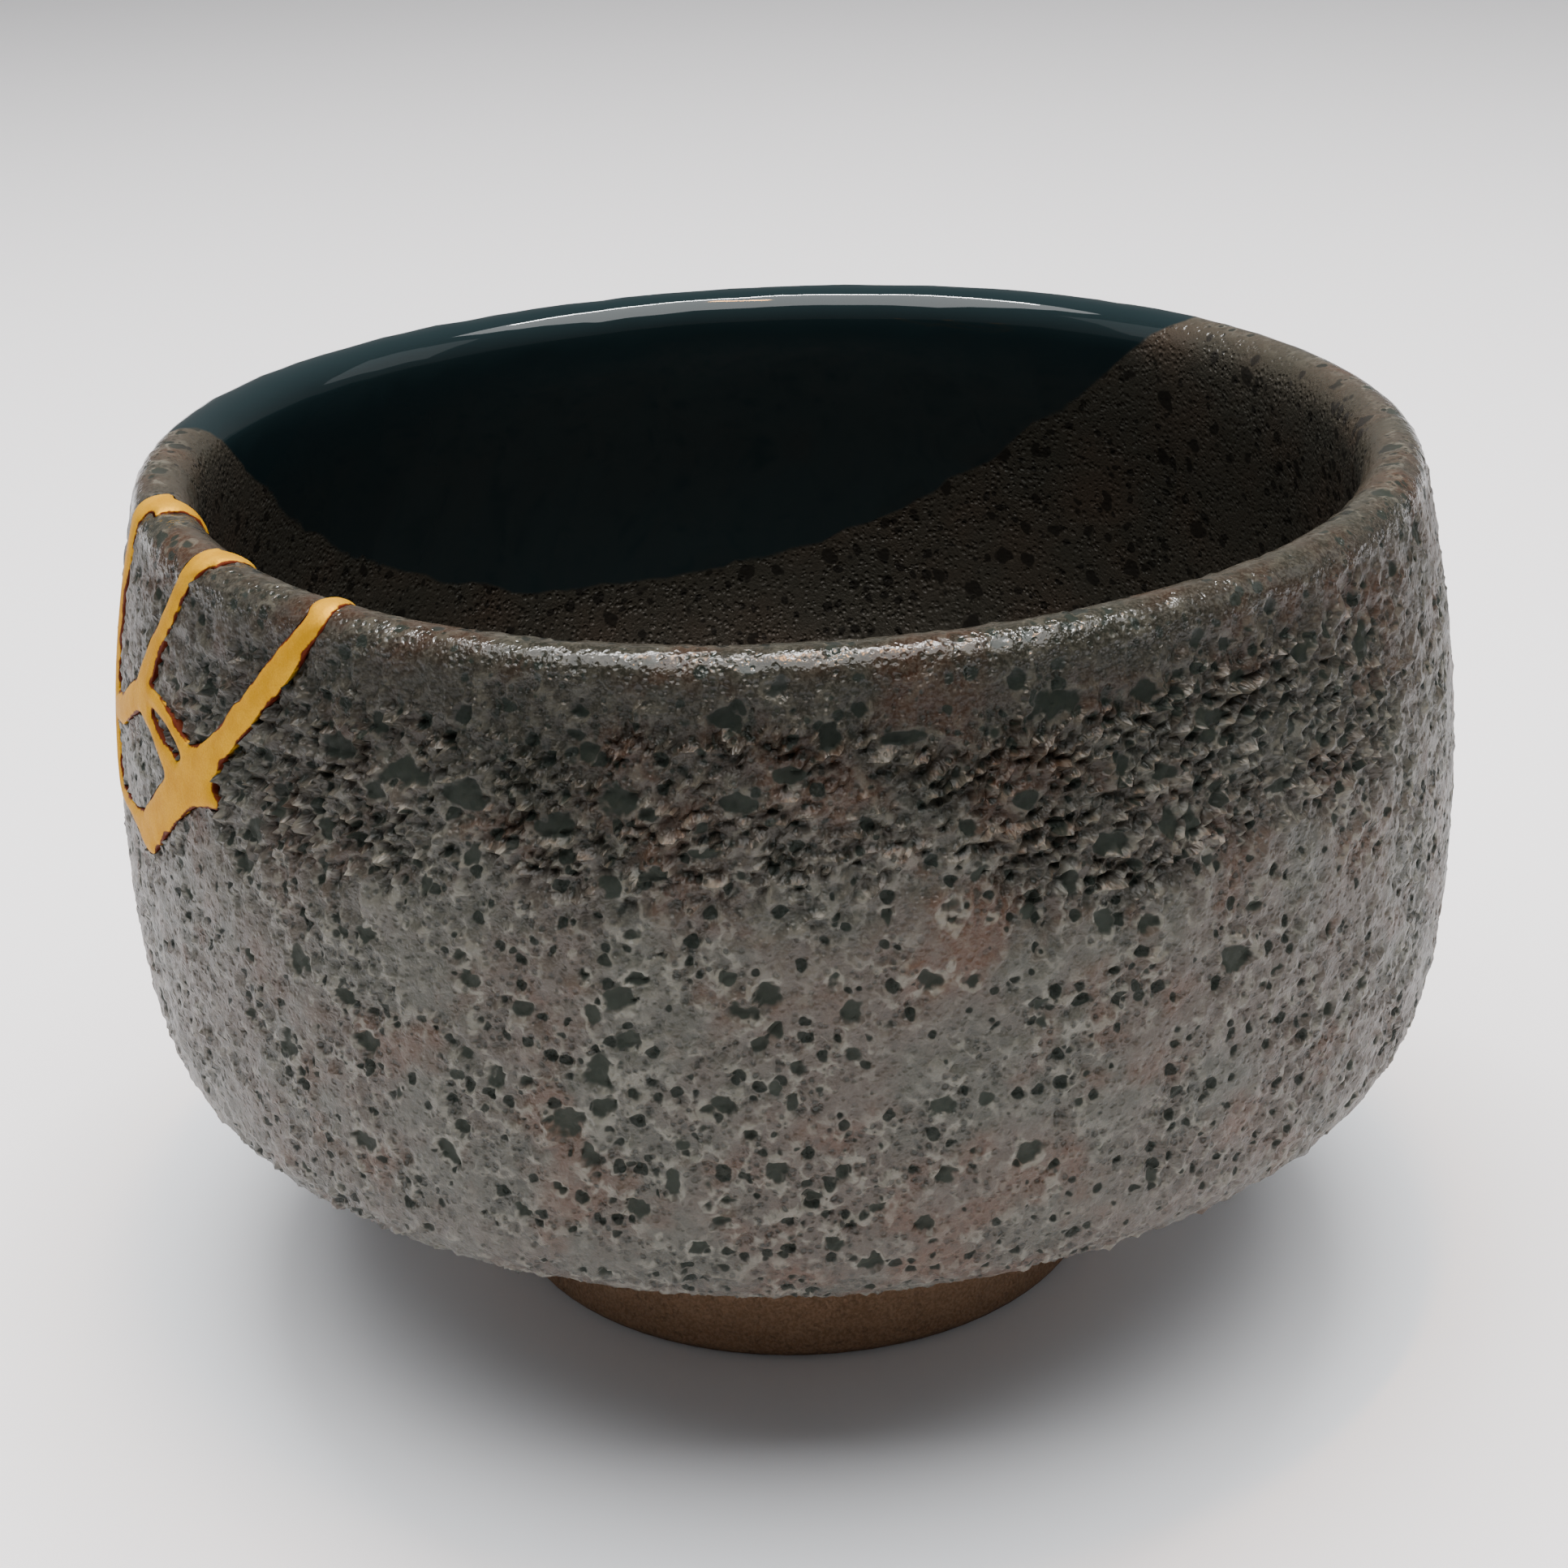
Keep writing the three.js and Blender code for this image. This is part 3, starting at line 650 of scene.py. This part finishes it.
def glaze_material():
    mat, g, shader = material("pitted_glaze")

    def stored(name, output="Fac"):
        return g.add("ShaderNodeAttribute", attribute_name=name).outputs[output]

    at, inside = stored("rest", "Vector"), stored("inside")
    names = ("dip", "bare", "band", "crowd", "shade", "tint", "rust", "placed", "lively")
    slow = {name: stored(name) for name in names}
    _, m = relief(g, at, stored("spot"), slow)

    fine, _ = pits(g, at, (0.0, 0.0, 0.0), 0.62, 0.05, 0.25, 0.0, 41.0, 1.0)
    fine_in = g.math("MULTIPLY", g.step(fine, -0.05, 0.06), g.math("MULTIPLY_ADD", m["crowd"], 0.75, 0.25))
    busy = g.math("MULTIPLY_ADD", m["crowd"], 0.8, 0.2)
    grain = g.noise(at, 0.3, 1.0, 0.7).outputs["Fac"]

    grey = g.mix(g.step(m["tint"], 0.4, 0.6), (0.05, 0.0405, 0.032), (0.043, 0.043, 0.034))
    ground = g.mix(g.step(m["rust"], 0.5, 0.66, 0.0, 0.7), grey, (0.058, 0.026, 0.013))
    upper = g.mix(g.step(m["rust"], 0.42, 0.62), (0.0095, 0.0095, 0.0065), (0.018, 0.0088, 0.0045))
    deep = g.math("MAXIMUM", g.math("MULTIPLY", m["shade"], 0.92), g.math("MULTIPLY", m["band"], 0.5))
    ground = g.mix(deep, ground, upper)
    ground = g.mix(g.step(grain, 0.4, 0.65, 0.0, 0.16), ground, (0.11, 0.103, 0.085))
    broken = g.step(g.split(m["uneven"])[2], -0.06, 0.07, 0.1, 1.0)
    dark = (0.007, 0.01, 0.007)
    hollow = g.math("MULTIPLY", m["hollow"], g.math("MINIMUM", m["amount"], 1.0))
    ground = g.mix(hollow, ground, dark)
    # Crests and pit rims get a paler colour. This is partly the glaze's own paler rims and partly a painted highlight
    # where light from above would catch the ridge tops.
    pale_rims_and_highlight = g.math("MULTIPLY", m["crest"], g.math("MULTIPLY", busy, 0.6))
    pale_rims_and_highlight = g.math("MAXIMUM", pale_rims_and_highlight, g.math("MULTIPLY", m["rim"], 0.65))
    pale_rims_and_highlight = g.math("MULTIPLY", pale_rims_and_highlight, g.math("MULTIPLY_ADD", m["shade"], -0.6, 1.0))
    pale_rims_and_highlight = g.math("MULTIPLY", pale_rims_and_highlight, broken)
    ground = g.mix(pale_rims_and_highlight, ground, g.mix(m["shade"], (0.16, 0.155, 0.128), (0.095, 0.092, 0.072)))
    ground = g.mix(g.math("MULTIPLY", fine_in, 0.8), ground, dark)
    ground = g.mix(g.math("MULTIPLY", m["middle"], 0.9), ground, (0.012, 0.016, 0.013))
    floor_of_pit = g.mix(m["shade"], (0.023, 0.028, 0.0225), (0.01, 0.0135, 0.0105))
    ground = g.mix(g.math("MULTIPLY", m["large"], 0.93), ground, floor_of_pit)
    indoors = g.mix(g.step(m["rust"], 0.4, 0.7), (0.027, 0.025, 0.019), (0.036, 0.027, 0.019))
    spots = g.math("MULTIPLY", g.math("MAXIMUM", m["large"], m["middle"]), m["plain"])
    indoors = g.mix(g.math("MULTIPLY", spots, 0.75), indoors, (0.008, 0.0075, 0.007))
    colour = g.mix(inside, ground, indoors)
    thin_edge = g.math("MULTIPLY", g.step(m["bare"], -3.5, 0.0), 0.6)
    colour = g.mix(thin_edge, colour, (0.1, 0.06, 0.035))
    clay = g.mix(g.step(grain, 0.35, 0.65), (0.155, 0.088, 0.045), (0.225, 0.135, 0.08))
    colour = g.mix(m["clay"], colour, clay)
    colour = g.mix(m["gloss"], colour, (0.006, 0.0125, 0.0145))
    g.put(shader.inputs["Base Color"], colour)

    z = g.split(at)[2]
    roughness = g.math("MULTIPLY_ADD", grain, 0.2, 0.3)
    roughness = g.math("MULTIPLY", roughness, g.step(z, 76.0, 78.3, 1.0, 0.3))
    roughness = g.math("MULTIPLY_ADD", g.math("MAXIMUM", m["large"], inside), 0.12, roughness)
    roughness = g.math("MULTIPLY_ADD", m["clay"], 0.3, roughness)
    roughness = g.math("MULTIPLY", roughness, g.step(m["gloss"], 0.0, 1.0, 1.0, 0.12))
    g.put(shader.inputs["Roughness"], roughness)
    dulled = g.math("MAXIMUM", spots, g.math("MULTIPLY", g.math("MULTIPLY", m["shade"], m["plain"]), 0.5))
    dulled = g.math("MULTIPLY", dulled, g.step(z, 75.5, 78.3, 1.0, 0.0))
    shine = g.math("MULTIPLY_ADD", dulled, -0.22, 0.28)
    shine = g.math("MULTIPLY", shine, g.step(z, 76.5, 78.0, 1.0, 0.9))
    g.put(shader.inputs["Specular IOR Level"], g.between(m["gloss"], shine, 0.3))

    lift = g.math("MULTIPLY_ADD", grain, 0.12, g.math("MULTIPLY", g.step(fine, -0.16, 0.1), -0.16))
    busy_lift = g.math("MULTIPLY", g.math("MULTIPLY_ADD", busy, 0.5, 0.5), g.math("SUBTRACT", 1.0, m["gloss"]))
    busy_lift = g.math("MULTIPLY", busy_lift, g.step(z, 76.5, 79.0, 1.0, 0.5))
    calm = g.math("SUBTRACT", 1.0, g.math("MULTIPLY", m["large"], 0.7))
    bump = g.add("ShaderNodeBump", {"Height": lift, "Strength": g.math("MULTIPLY", busy_lift, calm), "Distance": MM})
    g.put(shader.inputs["Normal"], bump.outputs[0])
    return mat


def gold_material():
    mat, g, shader = material("gold_lacquer")
    at = g.add("ShaderNodeAttribute", attribute_name="rest").outputs["Vector"]
    edge = g.add("ShaderNodeAttribute", attribute_name="edge").outputs["Fac"]
    cloud = g.noise(at, 2.4, 3.0, 0.6).outputs["Fac"]
    dust = g.noise(at, 0.16, 2.0, 0.7).outputs["Fac"]
    gold = g.mix(g.step(cloud, 0.35, 0.65), (0.42, 0.215, 0.008), (0.5, 0.27, 0.016))
    gold = g.mix(g.step(dust, 0.3, 0.75, 0.0, 0.4), gold, (0.3, 0.14, 0.003))
    uneven = g.math("MULTIPLY_ADD", g.math("SUBTRACT", cloud, 0.5), 1.1, edge)
    margin = g.step(uneven, 0.03, 0.16, 1.0, 0.0)
    g.put(shader.inputs["Base Color"], g.mix(margin, gold, (0.07, 0.012, 0.006)))
    g.put(shader.inputs["Metallic"], g.math("MULTIPLY_ADD", margin, -0.3, 0.35))
    g.put(shader.inputs["Roughness"], g.math("MULTIPLY_ADD", dust, 0.22, 0.38))
    shader.inputs["Specular IOR Level"].default_value = 0.06
    shader.inputs["Specular Tint"].default_value = (0.85, 0.5, 0.12, 1)
    pock, _ = pits(g, at, unevenness(g, at), 2.6, 0.02, 0.2, 0.2, 5.0, 2.0)
    lift = g.math("MULTIPLY_ADD", g.step(pock, -0.04, 0.06), -0.08, g.math("MULTIPLY", dust, 0.03))
    lift = g.math("MULTIPLY_ADD", cloud, 0.12, lift)
    bump = g.add("ShaderNodeBump", {"Height": lift, "Strength": 1.0, "Distance": MM})
    g.put(shader.inputs["Normal"], bump.outputs[0])
    return mat


# ---- pottery and gold --------------------------------------------------------------------------


def stored_skin(mesh, co):
    depth, out, row = skin_of(co)
    set_attribute(mesh, "rest", co)
    set_attribute(mesh, "skin", out)
    set_attribute(mesh, "cover", np.clip(1 - (depth - 0.25) / 0.5, 0, 1))
    set_attribute(mesh, "inside", np.clip((row - OUTSIDE_COUNT + 4) / 16, 0, 1))
    set_attribute(mesh, "spot", spot_field(co))


def spot_field(co):
    """Up to 1 at the middle of a broad hollow, 0 at its edge, and down to -1 away from it."""
    angle = np.degrees(np.arctan2(co[:, 1], co[:, 0]))
    r = np.hypot(co[:, 0], co[:, 1])
    out = np.full(len(co), -1.0)
    for degrees, height, wide, tall in SPOTS:
        side = np.radians((angle - degrees + 180) % 360 - 180) * r
        off = np.hypot(side / (wide / 2), (co[:, 2] - height) / (tall / 2))
        out = np.maximum(out, np.where(r > 25, 1 - off, -1))
    return out


def finish_piece(obj, name, mat):
    for attribute in ("skin", "cover"):
        if attribute in obj.data.attributes:
            obj.data.attributes.remove(obj.data.attributes[attribute])
    obj.name = obj.data.name = f"{name}_fine"
    obj.data.transform(Matrix.Scale(MM, 4))
    obj.data.shade_smooth()
    obj.data.set_sharp_from_angle(angle=math.radians(62))
    obj.data.materials.clear()
    obj.data.materials.append(mat)
    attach(obj, "root")
    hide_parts(name)


def make_pottery(network, mat):
    front = uneven_turn(180, 360, FRONT_COLUMNS, BACK_COLUMNS)
    ware = turned("ware", section(OUTSIDE_STEP, INSIDE_STEP, -SKIN_SET_IN), front)
    wider = grown(network, SEAM_GAP / 2)
    cut(ware, wider, "DIFFERENCE")
    remove(wider)
    parts = sorted(pieces_of(ware), key=lambda part: -len(part[0]))
    remove(ware)
    group = relief_group()
    named = {"bowl_body": parts[0]}
    for name, (radius, degrees, height) in SHERDS.items():
        place = np.array([*(radius * unit(degrees)), height])
        named[name] = min(parts[1:], key=lambda part: np.linalg.norm((part[0].min(0) + part[0].max(0)) / 2 - place))
    for name, (co, triangles) in named.items():
        obj = make_object(name, co, triangles)
        stored_skin(obj.data, co)
        modifier = obj.modifiers.new("relief", "NODES")
        modifier.node_group = group
        apply_modifiers(obj)
        thin(obj, FACES[name])
        finish_piece(obj, name, mat)


def make_gold(network, mat):
    fine = uneven_turn(186, 242, 460, 80)
    obj = turned("gold", section(0.24, 0.24, GOLD_PROUD - SKIN_SET_IN), fine)
    tighter = grown(network, -SEAM_GAP / 2)
    cut(obj, tighter, "INTERSECT")
    remove(tighter)
    co, triangles = coordinates(obj.data), triangles_of(obj.data)
    depth, out, _ = skin_of(co)
    top = depth < -(GOLD_PROUD - SKIN_SET_IN) + 0.02
    on_top = top[triangles].all(1)
    a, b, c = (co[triangles[:, i]] for i in range(3))
    flat = np.cross(b - a, c - a)
    flat /= np.linalg.norm(flat, axis=1)[:, None] + 1e-12
    on_top &= (flat * out[triangles[:, 0]]).sum(1) > 0.8
    rim = np.intersect1d(triangles[on_top], triangles[~on_top])
    tree = kdtree.KDTree(len(rim))
    for i, index in enumerate(rim):
        tree.insert(co[index], i)
    tree.balance()
    edge = np.zeros(len(co))
    for index in np.unique(triangles[on_top]):
        edge[index] = tree.find(co[index])[2]
    fall = (1 - np.clip(edge / 0.9, 0, 1)) ** 2 * (GOLD_PROUD + 0.02)
    moved = co - out * np.where(depth < 0.3, fall, 0)[:, None]
    set_coordinates(obj.data, moved)
    set_attribute(obj.data, "rest", co)
    set_attribute(obj.data, "edge", edge)
    thin(obj, FACES["gold_seams"])
    finish_piece(obj, "gold_seams", mat)


seams = seam_network()
make_pottery(seams, glaze_material())
make_gold(seams, gold_material())
remove(seams)

# ---- floor, light and camera -------------------------------------------------------------------


def floor():
    mesh = bpy.data.meshes.new("floor")
    mesh.from_pydata([(-3, -3, 0), (3, -3, 0), (3, 3, 0), (-3, 3, 0)], [], [(0, 1, 2, 3)])
    obj = bpy.data.objects.new("floor", mesh)
    bpy.context.scene.collection.objects.link(obj)
    mat, _, shader = material("floor_paper")
    shader.inputs["Base Color"].default_value = (0.775, 0.785, 0.815, 1)
    shader.inputs["Roughness"].default_value = 0.8
    mesh.materials.append(mat)


def area_light(name, place, target, size, power, colour):
    data = bpy.data.lights.new(name, "AREA")
    data.shape, data.size, data.size_y = "RECTANGLE", *size
    data.energy, data.color = power, colour
    obj = bpy.data.objects.new(name, data)
    obj.location = place
    obj.rotation_euler = (Vector(target) - Vector(place)).to_track_quat("-Z", "Y").to_euler()
    bpy.context.scene.collection.objects.link(obj)


floor()
area_light("overhead", (0, -0.14, 0.75), (0, -0.05, 0), (0.9, 0.7), 14, (1, 1, 1))
area_light("panel", (0, 0.17, 0.8), (0, 0, 0.05), (0.6, 0.012), 10, (1, 1, 1))
area_light("warm_strip", (0.03, -0.02, 0.75), (0, 0, 0.05), (0.14, 0.012), 2, (1, 0.45, 0.12))
area_light("left", (-0.8, 0.1, 0.55), (0, 0, 0.04), (0.5, 0.5), 0.6, (0.95, 0.98, 1))
area_light("right", (0.8, 0.1, 0.55), (0, 0, 0.04), (0.5, 0.5), 0.8, (0.95, 0.98, 1))

world = bpy.data.worlds.new("room")
bpy.context.scene.world = world
world.use_nodes = True
world.node_tree.nodes["Background"].inputs["Color"].default_value = (0.97, 0.98, 1.0, 1)
world.node_tree.nodes["Background"].inputs["Strength"].default_value = 0.22

CAMERA_TARGET, CAMERA_DISTANCE = np.array([-0.41, 0, 44.6]), 265.4
CAMERA_HEIGHT, CAMERA_ROLL, CAMERA_LENS = math.radians(23.46), math.radians(-1.875), 64.57

back = np.array([0, -math.cos(CAMERA_HEIGHT), math.sin(CAMERA_HEIGHT)])
across, up = np.array([1.0, 0, 0]), np.cross(back, [1.0, 0, 0])
right = math.cos(CAMERA_ROLL) * across + math.sin(CAMERA_ROLL) * up
upward = -math.sin(CAMERA_ROLL) * across + math.cos(CAMERA_ROLL) * up
camera_data = bpy.data.cameras.new("camera")
camera_data.lens, camera_data.sensor_width, camera_data.clip_start = CAMERA_LENS, 36, 0.01
camera = bpy.data.objects.new("camera", camera_data)
turn = Matrix(np.stack([right, upward, back], 1).tolist()).to_4x4()
camera.matrix_world = Matrix.Translation((CAMERA_TARGET + CAMERA_DISTANCE * back) * MM) @ turn
bpy.context.scene.collection.objects.link(camera)
bpy.context.scene.camera = camera
